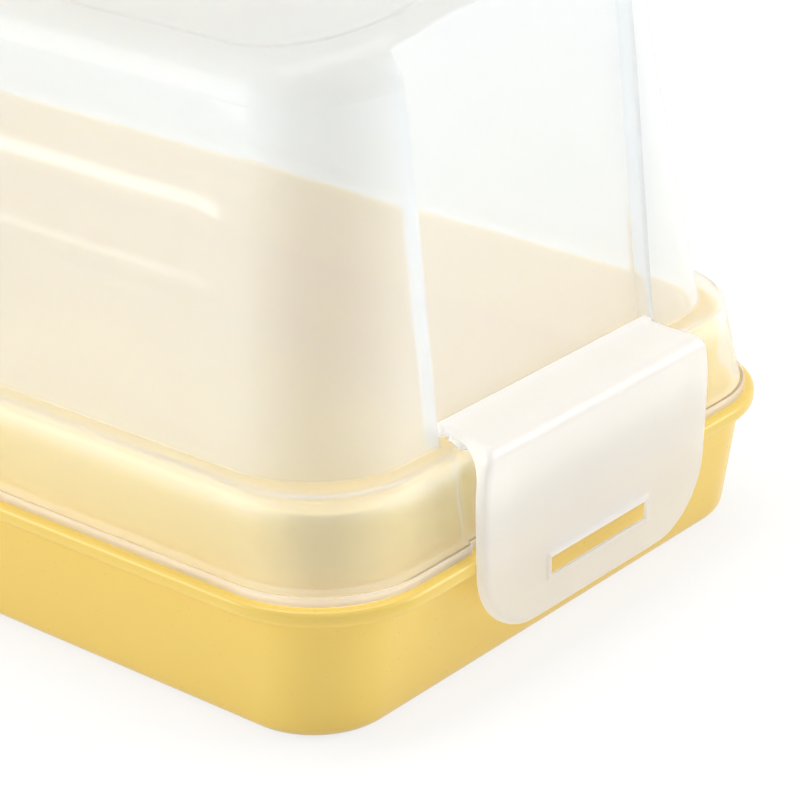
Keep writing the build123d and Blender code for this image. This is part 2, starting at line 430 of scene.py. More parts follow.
@dataclass(frozen=True)
class Stations:
    """Places points round any oblong in one fixed order, close together at the bay's edge.

    Attributes:
        end_places: Places across the end, from the middle to past the bay's edge.
        arc_steps: Steps from there round the corner.
        side_steps: Steps along the long side to its middle.
        full_half_width: Half width above which the end places are used as they are.
    """

    end_places: tuple[float, ...] = (
        0.0, 8.0, 16.0, 24.0, 31.0, 35.5, 37.4, 38.0, 38.25, 38.45, 38.65, 38.85, 39.05,
        39.25, 39.45, 39.65, 39.9, 40.6, 42.0,
    )
    arc_steps: int = 34
    side_steps: int = 12
    full_half_width: float = 50.0

    def count(self) -> int:
        """How many stations a quarter has."""
        return len(self.end_places) + self.arc_steps + self.side_steps

    def at(self, index: int, oblong: Oblong) -> Station:
        """Finds one station of an outline.

        Args:
            index: Which station, from the end's middle to the long side's middle.
            oblong: The outline.

        Returns:
            The point and its outward direction.
        """
        straight = oblong.half_width - oblong.corner
        centre_x = oblong.half_length - oblong.corner
        squeeze = min(1.0, oblong.half_width / self.full_half_width)
        if index < len(self.end_places):
            return self._across(self.end_places[index] * squeeze, oblong, straight, centre_x)
        last = self.end_places[-1] * squeeze
        index -= len(self.end_places) - 1
        if index <= self.arc_steps:
            start_angle = 0.0
            run = straight - last
            if run < 0:
                start_angle = math.asin(min(1.0, -run / oblong.corner))
                run = 0.0
            arc = (math.pi / 2 - start_angle) * oblong.corner
            way = (run + arc) * index / self.arc_steps
            if way < run:
                return Station(oblong.half_length, last + way, 1.0, 0.0)
            angle = start_angle + (way - run) / oblong.corner
            out_x, out_y = math.cos(angle), math.sin(angle)
            x, y = centre_x + oblong.corner * out_x, straight + oblong.corner * out_y
            return Station(x, y, out_x, out_y)
        share = (index - self.arc_steps) / self.side_steps
        return Station(centre_x * (1 - share), oblong.half_width, 0.0, 1.0)

    def _across(self, y: float, oblong: Oblong, straight: float, centre_x: float) -> Station:
        """Finds the station of the end side at a given place across it.

        Args:
            y: The place across.
            oblong: The outline.
            straight: Half the straight stretch of the end.
            centre_x: Where the corner's centre lies along the length.

        Returns:
            The point and its outward direction.
        """
        if y <= straight:
            return Station(oblong.half_length, y, 1.0, 0.0)
        sine = min(1.0, (y - straight) / oblong.corner)
        cosine = math.sqrt(1 - sine * sine)
        return Station(centre_x + oblong.corner * cosine, y, cosine, sine)


Quarter = list[tuple[float, float, float]]


def whole_ring(quarter: Quarter) -> list[tuple[float, float, float]]:
    """Mirrors the points of a quarter into a whole ring.

    Args:
        quarter: Points from the end's middle to the long side's middle.

    Returns:
        The points of the ring in order.
    """
    first = list(quarter)
    second = [(-x, y, z) for x, y, z in quarter[-2::-1]]
    third = [(-x, -y, z) for x, y, z in quarter[1:]]
    fourth = [(x, -y, z) for x, y, z in quarter[-2:0:-1]]
    return first + second + third + fourth


def loft(name: str, quarters: list[Quarter]) -> bpy.types.Object:
    """Joins rings into a closed mesh whose first and last ring are filled.

    Args:
        name: What the object is called.
        quarters: The first quarter of each ring, in millimetres, in order over the surface.

    Returns:
        The new object, with its faces pointing outwards.
    """
    rings = [whole_ring(quarter) for quarter in quarters]
    size = len(rings[0])
    points = [(x * MM, y * MM, z * MM) for ring in rings for x, y, z in ring]
    faces = [tuple(range(size))[::-1]]
    for row in range(len(rings) - 1):
        start, after = row * size, (row + 1) * size
        for spot in range(size):
            beside = (spot + 1) % size
            faces.append((start + spot, start + beside, after + beside, after + spot))
    faces.append(tuple(range((len(rings) - 1) * size, len(rings) * size)))
    return solid_object(name, points, faces)


def solid_object(name: str, points: list, faces: list) -> bpy.types.Object:
    """Makes a smooth object from points and faces and turns its faces outwards.

    Args:
        name: What the object is called.
        points: The points, in metres.
        faces: The points of each face.

    Returns:
        The new object.
    """
    mesh = bpy.data.meshes.new(name)
    mesh.from_pydata(points, [], faces)
    return finish_object(name, mesh)


def finish_object(name: str, mesh: bpy.types.Mesh) -> bpy.types.Object:
    """Turns a closed mesh outwards, makes it smooth and links it as an object.

    Args:
        name: What the object is called.
        mesh: A closed mesh.

    Returns:
        The new object.
    """
    work = bmesh.new()
    work.from_mesh(mesh)
    if work.calc_volume(signed=True) < 0:
        bmesh.ops.reverse_faces(work, faces=work.faces[:])
    work.to_mesh(mesh)
    work.free()
    mesh.shade_smooth()
    mesh.set_sharp_from_angle(angle=SHARP_ANGLE)
    piece = bpy.data.objects.new(name, mesh)
    bpy.context.scene.collection.objects.link(piece)
    log.info("%s: %d faces", name, len(mesh.polygons))
    return piece


def spread(start: float, end: float, steps: int) -> list[float]:
    """Evenly spaced values from start to end, both included."""
    return [start + (end - start) * step / steps for step in range(steps + 1)]


def quarter_turn(steps: int) -> list[tuple[float, float]]:
    """Sine and cosine at even steps of a quarter turn, both ends included."""
    return [(math.sin(angle), math.cos(angle)) for angle in spread(0.0, math.pi / 2, steps)]


def smoothstep(share: float) -> float:
    """A soft step from nought to one."""
    share = min(1.0, max(0.0, share))
    return share * share * (3 - 2 * share)


@dataclass
class Cover:
    """The clear cover: skirt with a lip, ledge, and a dome with a bay at each end.

    Attributes:
        sizes: The container's shared sizes.
        wall: Thickness of the wall.
        skirt_corner: Corner radius of the skirt.
        lip_height: Height of the lip at the skirt's foot.
        lip_stand: How far the lip stands out from the skirt.
        lip_round: Rounding of the lip's upper edge.
        ledge_round: Rounding between skirt and ledge.
        foot_round: Rounding between ledge and dome.
        dome_corner: Corner radius of the dome.
        top_round: Rounding between the dome's walls and its top.
        field: Raised field on the top.
        field_rise: How far the field stands up.
        panel: Sunk panel in the field.
        panel_depth: How far the panel lies below the top.
        bay_soft: Width of the rounding at the bay's upright edges in the dome.
        skirt_bay_soft: The same in the skirt.
        bay_edge_in: How far that rounding starts inside the bay.
        lip_foot: Bevel of the lip's lower edge.
        lip_crease: How far before the skirt the lip's top ends, for a small crease.
        skirt_start: Height of the skirt's lowest ring above the lip.
        field_slope: Width of the slope at the field's edge.
        panel_slope: Width of the slope at the panel's edge.
        field_insets: Where rings lie inside the field's edge.
        panel_insets: Where rings lie inside the panel's edge.
        lip_steps: Steps over the lip's rounded edge.
        skirt_steps: Steps up the skirt.
        ledge_round_steps: Steps over the rounding between skirt and ledge.
        ledge_steps: Steps across the ledge.
        foot_steps: Steps over the rounding between ledge and dome.
        wall_steps: Steps up the dome's wall.
        round_steps: Steps over the rounded shoulder.
        field_steps: Steps over the slope at the field's edge.
        panel_steps: Steps over the slope at the panel's edge.
        settling_steps: How often the shoulder's place is improved.
        stations: Where the points lie round each ring.
    """

    sizes: ContainerSizes
    wall: float = 1.5
    skirt_corner: float = 26.0
    lip_height: float = 2.2
    lip_stand: float = 0.6
    lip_round: float = 0.25
    ledge_round: float = 1.9
    foot_round: float = 0.7
    dome_corner: float = 25.5
    top_round: float = 13.0
    field: Oblong = Oblong(159.0, 53.5, 24.0)
    field_rise: float = 0.5
    panel: Oblong = Oblong(139.0, 37.0, 20.0)
    panel_depth: float = 1.2
    bay_soft: float = 1.0
    skirt_bay_soft: float = 0.6
    bay_edge_in: float = 0.2
    lip_foot: float = 0.1
    lip_crease: float = 0.06
    skirt_start: float = 0.35
    field_slope: float = 0.6
    panel_slope: float = 0.9
    field_insets: tuple[float, ...] = (3.0, 9.0, 14.5)
    panel_insets: tuple[float, ...] = (3.0, 7.0, 12.0, 18.0, 24.0, 30.0)
    lip_steps: int = 3
    skirt_steps: int = 7
    ledge_round_steps: int = 6
    ledge_steps: int = 3
    foot_steps: int = 4
    wall_steps: int = 12
    round_steps: int = 22
    field_steps: int = 4
    panel_steps: int = 6
    settling_steps: int = 8
    stations: Stations = Stations()

    def _window(self, y: float, soft: float) -> float:
        """One in the bay, nought beside it, soft in between."""
        return smoothstep((self.sizes.bay_half + soft - self.bay_edge_in - y) / soft)

    def _level(self, oblong: Oblong, height: float, shift: float) -> Quarter:
        """One ring at a constant height.

        Args:
            oblong: The outline.
            height: Its height.
            shift: How far the bay sets it back.

        Returns:
            The ring's first quarter.
        """
        quarter = []
        soft = self.bay_soft if shift == self.sizes.bay_depth else self.skirt_bay_soft
        for index in range(self.stations.count()):
            spot = self.stations.at(index, oblong)
            setback = shift * self._window(spot.y, soft) if spot.x > self.sizes.bay_half else 0.0
            quarter.append((spot.x - setback, spot.y, height))
        return quarter

    def _skirt_oblong(self, inset: float, corner: float) -> Oblong:
        """The outline that lies a given way inside the rim's edge."""
        return Oblong(self.sizes.rim_length / 2 - inset, self.sizes.rim_width / 2 - inset, corner)

    def _dome_oblong(self, height: float, shrink: float) -> Oblong:
        """The dome's outline at a height, as if its walls went on up.

        Args:
            height: The height.
            shrink: Nought for the outside, the wall's thickness for the inside.

        Returns:
            The outline.
        """
        sizes = self.sizes
        return Oblong(
            sizes.rim_length / 2 - sizes.dome_inset(height, sizes.end_fall) - shrink,
            sizes.rim_width / 2 - sizes.dome_inset(height, sizes.side_fall) - shrink,
            self.dome_corner - shrink,
        )

    def _lip_rings(self) -> list[Quarter]:
        """The lip's rings, from its foot to where it meets the skirt.

        Returns:
            The first quarter of each ring.
        """
        sizes = self.sizes
        lip_inset = sizes.skirt_setback - self.lip_stand
        corner = sizes.rim_corner - lip_inset
        shift = sizes.skirt_bay_depth
        top = sizes.seat + self.lip_height
        rings = [
            self._level(self._skirt_oblong(lip_inset + self.lip_foot, corner), sizes.seat, shift),
            self._level(self._skirt_oblong(lip_inset, corner), sizes.seat + self.lip_foot, shift),
        ]
        for sine, cosine in quarter_turn(self.lip_steps):
            inset = lip_inset + self.lip_round * (1 - cosine)
            rings.append(self._level(
                self._skirt_oblong(inset, corner), top - self.lip_round * (1 - sine), shift,
            ))
        inside = sizes.skirt_inset(top) - self.lip_crease
        rings.append(self._level(self._skirt_oblong(inside, self.skirt_corner), top, shift))
        return rings

    def _skirt_rings(self, shrink: float, foot: float) -> list[Quarter]:
        """Skirt, rounding and ledge, from a height up to the dome's foot.

        Args:
            shrink: Nought for the outside, the wall's thickness for the inside.
            foot: Height of the lowest ring.

        Returns:
            The first quarter of each ring.
        """
        sizes = self.sizes
        top = sizes.ledge - shrink
        rounding = self.ledge_round - shrink
        brow = top - rounding
        rings = []
        for height in spread(foot, brow, self.skirt_steps):
            inset = sizes.skirt_inset(height) + shrink
            rings.append(self._level(
                self._skirt_oblong(inset, self.skirt_corner - shrink), height, sizes.skirt_bay_depth,
            ))
        start = sizes.skirt_inset(brow) + shrink
        for sine, cosine in quarter_turn(self.ledge_round_steps)[1:]:
            inset = start + rounding * (1 - cosine)
            rings.append(self._level(
                self._skirt_oblong(inset, self.skirt_corner - shrink),
                brow + rounding * sine, sizes.skirt_bay_depth,
            ))
        inner = self._dome_oblong(top, shrink)
        edge = self._skirt_oblong(start + rounding, self.skirt_corner - shrink)
        reach = self.foot_round
        for share in spread(0.0, 1.0, self.ledge_steps)[1:]:
            outline = Oblong(
                edge.half_length + (inner.half_length + reach - edge.half_length) * share,
                edge.half_width + (inner.half_width + reach - edge.half_width) * share,
                edge.corner + (inner.corner + reach - edge.corner) * share,
            )
            shift = sizes.skirt_bay_depth + (sizes.bay_depth - sizes.skirt_bay_depth) * share
            rings.append(self._level(outline, top, shift))
        for sine, cosine in quarter_turn(self.foot_steps)[1:]:
            outline = inner.shrunk(-reach * (1 - sine))
            rings.append(self._level(outline, top + reach * (1 - cosine), sizes.bay_depth))
        return rings

    def _edge_place(self, index: int, shrink: float) -> tuple[Oblong, Station, float]:
        """Finds where a wall would meet the arched top without the rounding.

        Args:
            index: The station.
            shrink: Nought for the outside, the wall's thickness for the inside.

        Returns:
            The outline there, the point, and its height.
        """
        height = self.sizes.crest - shrink
        for _ in range(self.settling_steps):
            outline = self._dome_oblong(height, shrink)
            spot = self.stations.at(index, outline)
            height = self.sizes.crest - shrink - self.sizes.crown(spot.y)
        return outline, spot, height

    def _dome_rings(self, shrink: float) -> list[Quarter]:
        """Walls and rounded shoulder of the dome, up to the field's edge.

        Args:
            shrink: Nought for the outside, the wall's thickness for the inside.

        Returns:
            The first quarter of each ring.
        """
        sizes = self.sizes
        foot = sizes.ledge - shrink + self.foot_round
        radius = self.top_round - shrink
        field = self.field.shrunk(-self.field_slope / 2)
        columns = []
        for index in range(self.stations.count()):
            outline, edge, height = self._edge_place(index, shrink)
            lean = math.atan(sizes.end_fall * edge.out_x + sizes.side_fall * edge.out_y)
            slope = edge.y / math.sqrt(sizes.crown_radius**2 - edge.y**2) * edge.out_y
            rise = math.atan(slope)
            across = radius * (1 - math.sin(lean) / math.cos(rise))
            middle = across / (math.cos(lean) - math.sin(lean) * math.tan(rise))
            below = math.tan(rise) * middle - radius / math.cos(rise)
            shoulder = height + below + radius * math.sin(lean)
            column = []
            for share in spread(0.0, 1.0, self.wall_steps)[1:]:
                level = foot + (shoulder - foot) * share
                spot = self.stations.at(index, self._dome_oblong(level, shrink))
                in_bay = self._window(spot.y, self.bay_soft) if edge.out_x > END_SIDE else 0.0
                setback = sizes.bay_depth * in_bay
                column.append((spot.x - setback, spot.y, level))
            low_x, low_y = spot.x, spot.y
            target = self.stations.at(index, field)
            for sine, cosine in quarter_turn(self.round_steps)[1:]:
                x = low_x + (target.x - low_x) * (1 - cosine)
                y = low_y + (target.y - low_y) * (1 - cosine)
                inward = outline.depth_of(x, y)
                drop = 0.0
                if inward < middle + radius * math.sin(rise):
                    fall = math.sqrt(max(radius**2 - (inward - middle)**2, 0.0))
                    drop = max(math.tan(rise) * inward - below - fall, 0.0)
                level = sizes.crest - shrink - sizes.crown(y) - drop
                column.append((self._in_bay(x, y, level, shrink, edge), y, level))
            columns.append(column)
        return [list(ring) for ring in zip(*columns)]

    def _in_bay(self, x: float, y: float, level: float, shrink: float, edge: Station) -> float:
        """Sets a point of the shoulder back to the bay's wall where it stands before it.

        Args:
            x: Place along the length.
            y: Place across the width.
            level: Height.
            shrink: Nought for the outside, the wall's thickness for the inside.
            edge: Where the wall below the point ends.

        Returns:
            The place along the length.
        """
        if edge.out_x < END_SIDE:
            return x
        limit = self._dome_oblong(level, shrink).half_length - self.sizes.bay_depth
        return x + self._window(y, self.bay_soft) * (min(x, limit) - x)

    def _top_rings(self, shrink: float) -> list[Quarter]:
        """Raised field and sunk panel, inwards from the field's edge.

        Args:
            shrink: Nought for the outside, the wall's thickness for the inside.

        Returns:
            The first quarter of each ring.
        """
        rise = self.field_rise if shrink == 0.0 else 0.0
        rings = []
        for share in spread(0.0, 1.0, self.field_steps)[1:]:
            outline = self.field.shrunk(self.field_slope * share - self.field_slope / 2)
            rings.append(self._draped(outline, shrink, rise * smoothstep(share)))
        for inset in self.field_insets:
            rings.append(self._draped(self.field.shrunk(inset), shrink, rise))
        for share in spread(0.0, 1.0, self.panel_steps):
            level = rise - (self.panel_depth + rise) * smoothstep(share)
            outline = self.panel.shrunk(self.panel_slope * share - self.panel_slope / 2)
            rings.append(self._draped(outline, shrink, level))
        for inset in self.panel_insets:
            rings.append(self._draped(self.panel.shrunk(inset), shrink, -self.panel_depth))
        return rings

    def _draped(self, outline: Oblong, shrink: float, lift: float) -> Quarter:
        """A ring that lies on the arched top, lifted or sunk.

        Args:
            outline: The ring's outline.
            shrink: Nought for the outside, the wall's thickness for the inside.
            lift: How far the ring lies above the arch.

        Returns:
            The ring's first quarter.
        """
        quarter = []
        for index in range(self.stations.count()):
            spot = self.stations.at(index, outline)
            level = self.sizes.crest - shrink - self.sizes.crown(spot.y) + lift
            quarter.append((spot.x, spot.y, level))
        return quarter

    def build(
        self, dome: bpy.types.Material, skirt: bpy.types.Material, lip: bpy.types.Material,
    ) -> bpy.types.Object:
        """Makes the cover, dresses it and puts it on its body.

        Args:
            dome: The material of the dome.
            skirt: The material of skirt and ledge.
            lip: The material of the lip.

        Returns:
            The cover.
        """
        lip_top, ledge = self.sizes.seat + self.lip_height, self.sizes.ledge + self.foot_round
        outside = self._lip_rings() + self._skirt_rings(0.0, lip_top + self.skirt_start)
        outside += self._dome_rings(0.0) + self._top_rings(0.0)
        inside = self._skirt_rings(self.wall, self.sizes.seat)
        inside += self._dome_rings(self.wall) + self._top_rings(self.wall)
        piece = loft("cover_shell", outside[::-1] + inside)
        dress(piece, dome)
        piece.data.materials.append(skirt)
        piece.data.materials.append(lip)
        for face in piece.data.polygons:
            height = face.center.z / MM
            face.material_index = 0 if height > ledge else 1 if height > lip_top else 2
        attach(piece, "cover_body")
        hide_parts("cover")
        return piece


@dataclass
class Tray:
    """The yellow tray: a leaning body, and a rim with a neck swept round it.

    Attributes:
        sizes: The container's shared sizes.
        overhang: How far the rim stands out over the body.
        side_lean: Lean of the long walls.
        end_lean: Lean of the end walls.
        corner: Corner radius of the body.
        wall: Thickness of the walls.
        floor: Thickness of the floor.
        foot_round: Rounding of the bottom edge.
        round_below: Rounding of the rim's lower edge.
        round_above: Rounding of the rim's upper edge.
        neck_inset: How far the neck stands inside the rim's edge.
        neck_wall: Thickness of the neck.
        neck_height: Height of the neck above the rim.
        neck_round: Rounding of the neck's top.
        neck_foot: Rounding between rim and neck.
        into_rim: How far the body's walls run up into the rim.
        foot_steps: Steps over the rounding of the bottom edge.
        wall_steps: Steps up the walls.
        rim_steps: Steps over each rounding of the rim's edge.
        neck_foot_steps: Steps over the rounding between rim and neck.
        neck_steps: Steps over each rounding of the neck's top.
        corner_steps: Steps round a corner of the rim.
        stations: Where the points lie round each ring of the body.
    """

    sizes: ContainerSizes
    overhang: float = 5.0
    side_lean: float = 2.5
    end_lean: float = 7.0
    corner: float = 19.0
    wall: float = 2.2
    floor: float = 2.4
    foot_round: float = 3.5
    round_below: float = 1.8
    round_above: float = 1.2
    neck_inset: float = 9.0
    neck_wall: float = 1.7
    neck_height: float = 18.0
    neck_round: float = 0.7
    neck_foot: float = 0.5
    into_rim: float = 1.0
    foot_steps: int = 8
    wall_steps: int = 6
    rim_steps: int = 6
    neck_foot_steps: int = 4
    neck_steps: int = 5
    corner_steps: int = 40
    stations: Stations = Stations()

    def _outline(self, height: float, shrink: float) -> Oblong:
        """The body's outline at a height.

        Args:
            height: The height.
            shrink: Nought for the outside, the wall's thickness for the inside.

        Returns:
            The outline.
        """
        sizes = self.sizes
        below = sizes.rim_underside - height
        end_fall = math.tan(math.radians(self.end_lean))
        side_fall = math.tan(math.radians(self.side_lean))
        return Oblong(
            sizes.rim_length / 2 - self.overhang - below * end_fall - shrink,
            sizes.rim_width / 2 - self.overhang - below * side_fall - shrink,
            self.corner - shrink,
        )

    def _wall_rings(self, low: float, high: float, shrink: float, rounding: float) -> list[Quarter]:
        """Rings of one side of the body's wall, from its rounded foot up.

        Args:
            low: Height of the lowest ring.
            high: Height of the highest ring.
            shrink: Nought for the outside, the wall's thickness for the inside.
            rounding: Rounding of the foot.

        Returns:
            The first quarter of each ring.
        """
        rings = []
        for sine, cosine in quarter_turn(self.foot_steps):
            height = low + rounding * (1 - cosine)
            rings.append(self._ring(self._outline(height, shrink).shrunk(rounding * (1 - sine)), height))
        for height in spread(low + rounding, high, self.wall_steps)[1:]:
            rings.append(self._ring(self._outline(height, shrink), height))
        return rings

    def _ring(self, outline: Oblong, height: float) -> Quarter:
        """One level ring."""
        spots = [self.stations.at(index, outline) for index in range(self.stations.count())]
        return [(spot.x, spot.y, height) for spot in spots]

    def _rim_profile(self) -> list[tuple[float, float]]:
        """Outline of rim and neck in section.

        Returns:
            The points in order round the section, as insets from the rim's edge and heights.
        """
        sizes = self.sizes
        under, seat = sizes.rim_underside, sizes.seat
        top = seat + self.neck_height
        mouth = self.neck_inset + self.neck_wall
        points = [(mouth, under)]
        for sine, cosine in quarter_turn(self.rim_steps):
            points.append((self.round_below * (1 - sine), under + self.round_below * (1 - cosine)))
        for sine, cosine in quarter_turn(self.rim_steps):
            points.append((self.round_above * (1 - cosine), seat - self.round_above * (1 - sine)))
        for sine, cosine in quarter_turn(self.neck_foot_steps):
            inset = self.neck_inset - self.neck_foot * (1 - sine)
            points.append((inset, seat + self.neck_foot * (1 - cosine)))
        for sine, cosine in quarter_turn(self.neck_steps):
            inset = self.neck_inset + self.neck_round * (1 - cosine)
            points.append((inset, top - self.neck_round * (1 - sine)))
        for sine, cosine in quarter_turn(self.neck_steps):
            inset = mouth - self.neck_round * (1 - sine)
            points.append((inset, top - self.neck_round * (1 - cosine)))
        return points

    def _sweep_tree(self, finish: bpy.types.Material) -> tuple[bpy.types.NodeTree, dict[str, str]]:
        """Builds the tree that sweeps a section round the rim's path.

        Args:
            finish: Not used; the material comes in through the tree's Finish input.

        Returns:
            The tree, and the identifiers of its inputs by name.
        """
        tree = bpy.data.node_groups.new("rim_round_the_tray", "GeometryNodeTree")
        tree.interface.new_socket("Section", in_out="INPUT", socket_type="NodeSocketGeometry")
        names = {}
        for name, kind in (
            ("Length", "NodeSocketFloat"), ("Width", "NodeSocketFloat"), ("Corner", "NodeSocketFloat"),
            ("Corner Steps", "NodeSocketInt"), ("Finish", "NodeSocketMaterial"),
        ):
            names[name] = tree.interface.new_socket(name, in_out="INPUT", socket_type=kind).identifier
        tree.interface.new_socket("Rim", in_out="OUTPUT", socket_type="NodeSocketGeometry")
        given = add_node(tree, Sweep.INPUT).outputs
        path = add_node(tree, Sweep.OBLONG, Width=given["Length"], Height=given["Width"])
        rounded = add_node(
            tree, Sweep.FILLET, {"mode": "POLY"}, Curve=path.outputs["Curve"],
            Radius=given["Corner"], Count=given["Corner Steps"],
        )
        section = add_node(tree, Sweep.MESH_TO_CURVE, Mesh=given["Section"])
        swept = add_node(
            tree, Sweep.CURVE_TO_MESH,
            Curve=rounded.outputs["Curve"], Profile_Curve=section.outputs["Curve"],
        )
        real = add_node(tree, Sweep.REALIZE, Geometry=swept.outputs["Mesh"])
        dressed = add_node(
            tree, Sweep.SET_MATERIAL, Geometry=real.outputs["Geometry"], Material=given["Finish"],
        )
        add_node(tree, Sweep.OUTPUT, Rim=dressed.outputs["Geometry"])
        return tree, names

    def build_rim(self, finish: bpy.types.Material) -> bpy.types.Object:
        """Sweeps the rim and the neck round the tray with Geometry Nodes.

        Args:
            finish: The material of the rim.

        Returns:
            The rim with its neck.
        """
        section = bpy.data.meshes.new("rim_section")
        profile = self._rim_profile()
        edges = [(spot, (spot + 1) % len(profile)) for spot in range(len(profile))]
        points = [(-inset * MM, -height * MM, 0.0) for inset, height in profile]
        section.from_pydata(points, edges, [])
        maker = bpy.data.objects.new("rim_maker", section)
        bpy.context.scene.collection.objects.link(maker)
        tree, names = self._sweep_tree(finish)
        sweep = maker.modifiers.new("sweep", "NODES")
        sweep.node_group = tree
        sweep[names["Length"]] = self.sizes.rim_length * MM
        sweep[names["Width"]] = self.sizes.rim_width * MM
        sweep[names["Corner"]] = self.sizes.rim_corner * MM
        sweep[names["Corner Steps"]] = self.corner_steps
        sweep[names["Finish"]] = finish
        result = maker.evaluated_get(bpy.context.evaluated_depsgraph_get())
        mesh = bpy.data.meshes.new_from_object(result)
        maker.modifiers.remove(sweep)
        bpy.data.objects.remove(maker)
        return finish_object("tray_rim", mesh)

    def build(self, finish: bpy.types.Material) -> None:
        """Makes the tray's body and rim, dresses them and puts them on their body.

        Args:
            finish: The material of the tray.
        """
        top = self.sizes.rim_underside + self.into_rim
        outside = self._wall_rings(0.0, top, 0.0, self.foot_round)
        inside = self._wall_rings(self.floor, top, self.wall, self.foot_round - self.wall / 2)
        body = loft("tray_shell", outside + inside[::-1])
        for piece in (body, self.build_rim(finish)):
            dress(piece, finish)
            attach(piece, "tray_body")
            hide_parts("tray")


class End(Enum):
    """The two ends of the container, as the direction of their latch along X."""

    RIGHT = 1
    LEFT = -1

    @property
    def node(self) -> str:
        """Name of the latch's node in the frame."""
        return "right_latch" if self is End.RIGHT else "left_latch"


@dataclass
class Latch:
    """A milky latch: flap, crease, plate with a slot, hook, and the barrel it turns on.

    Attributes:
        sizes: The container's shared sizes.
        end: Which end it hangs on.
        hinge_from_wall: How far the hinge stands before the bay's wall.
        barrel_radius: Radius of the hinge's barrel.
        barrel_above_ledge: Gap between ledge and barrel.
        pin_radius: Radius of the pins.
        pin_length: Length of the pins.
        flap_half: Half width of the flap at the hinge.
        flare: How much the plate is wider on each side.
        flare_start: Way along the flap where it starts to widen.
        flare_end: Way along the latch where it is widest.
        taper: How much narrower the plate is on each side at its bottom.
        taper_bend: Power by which that narrowing grows towards the bottom.
        rim_gap: Gap between the rim and the plate's back.
        depth: Depth of the plate's side walls.
        throat: Radius of the hollow curve of the side walls under the crease.
        flap_thickness: Depth of the flap's side walls.
        flap_fall: How far the flap falls to the crease.
        crease_round: Rounding of the crease.
        skin: Thickness of the skin.
        slot_skin: Share of that thickness that is left at the slot's edge.
        bottom: Height of the plate's lower edge.
        bottom_corner: Radius of the plate's lower corners.
        edge_round: Rounding of the outer edges.
        slot_half: Half width of the slot.
        slot_height: Height of the slot.
        frame_width: Width of the raised frame round the slot.
        frame_rise: How far that frame stands up.
        frame_slope: Width of the slope at that frame's outer edge.
        border: Width of the plate's raised border.
        border_slope: Width of the slope between border and middle.
        border_rise: How far the border stands up over the middle.
        hook_gap: Gap between rim and hook.
        hook_thickness: Height of the hook.
        hook_reach: How far the hook reaches under the rim.
        hook_nose: Slant of the hook's nose.
        hook_bevel: Bevel of the hook's upper edge.
        hook_root: How far the hook's foot lies inside the skin.
        hook_side_gap: How far the hook ends inside the slot's ends.
        barrel_round: Bevel of the barrel's ends.
        pin_bevel: Bevel of the pins' ends.
        barrel_sides: Sides round barrel and pins.
        flap_steps: Rows down the flap.
        crease_steps: Rows round the crease.
        plate_steps: Rows from the crease towards the slot.
        plate_steps_end: How far above the slot those rows end.
        slot_steps: Rows over the slot's height.
        above_slot: Distances of further rows above the slot.
        below_slot: Distances of rows below the slot.
        above_bottom: Distances of the last rows from the bottom.
        over_slot: Places of the columns over the slot, from the middle.
        beside_slot: Distances of columns from the slot's end.
        beside_edge: Distances of the last columns from the side edge.
        bend_height: Height over the bottom below which the rows bend with the lower corners.
        settling_steps: How often a bent row's place is improved.
        side_steps: Rows down the side walls.
    """

    sizes: ContainerSizes
    end: End
    hinge_from_wall: float = 2.8
    barrel_radius: float = 1.6
    barrel_above_ledge: float = 1.3
    pin_radius: float = 0.9
    pin_length: float = 1.1
    flap_half: float = 37.9
    flare: float = 3.7
    flare_start: float = 4.0
    flare_end: float = 26.0
    taper: float = 1.8
    taper_bend: float = 1.5
    rim_gap: float = 0.4
    depth: float = 2.7
    throat: float = 8.0
    flap_thickness: float = 2.2
    flap_fall: float = 1.3
    crease_round: float = 3.4
    skin: float = 1.4
    slot_skin: float = 0.5
    bottom: float = 12.9
    bottom_corner: float = 17.0
    edge_round: float = 1.9
    slot_half: float = 18.0
    slot_height: float = 4.4
    frame_width: float = 1.5
    frame_rise: float = 0.3
    frame_slope: float = 0.6
    border: float = 6.5
    border_slope: float = 2.0
    border_rise: float = 0.3
    hook_gap: float = 1.4
    hook_thickness: float = 1.8
    hook_reach: float = 2.2
    hook_nose: float = 1.2
    hook_bevel: float = 0.3
    hook_root: float = 0.35
    hook_side_gap: float = 0.8
    barrel_round: float = 0.35
    pin_bevel: float = 0.2
    barrel_sides: int = 40
    flap_steps: int = 10
    crease_steps: int = 10
    plate_steps: int = 16
    plate_steps_end: float = 3.0
    slot_steps: int = 5
    above_slot: tuple[float, ...] = (2.2, 1.7, 1.4, 1.1, 0.8, 0.4)
    below_slot: tuple[float, ...] = (0.4, 0.8, 1.1, 1.4, 1.7, 2.2, 3.2, 4.6, 5.6)
    above_bottom: tuple[float, ...] = (2.6, 1.9, 1.4, 1.0, 0.65, 0.35, 0.12, 0.0)
    over_slot: tuple[float, ...] = (0.0, 6.0, 12.0, 16.0, 17.2, 17.7)
    beside_slot: tuple[float, ...] = (0.0, 0.4, 0.8, 1.1, 1.4, 1.7, 2.4)
    beside_edge: tuple[float, ...] = (
        14.5, 12.0, 9.5, 7.5, 5.6, 4.2, 3.2, 2.5, 1.9, 1.4, 1.0, 0.65, 0.35, 0.12, 0.0,
    )
    bend_height: float = 30.0
    settling_steps: int = 4
    side_steps: int = 4

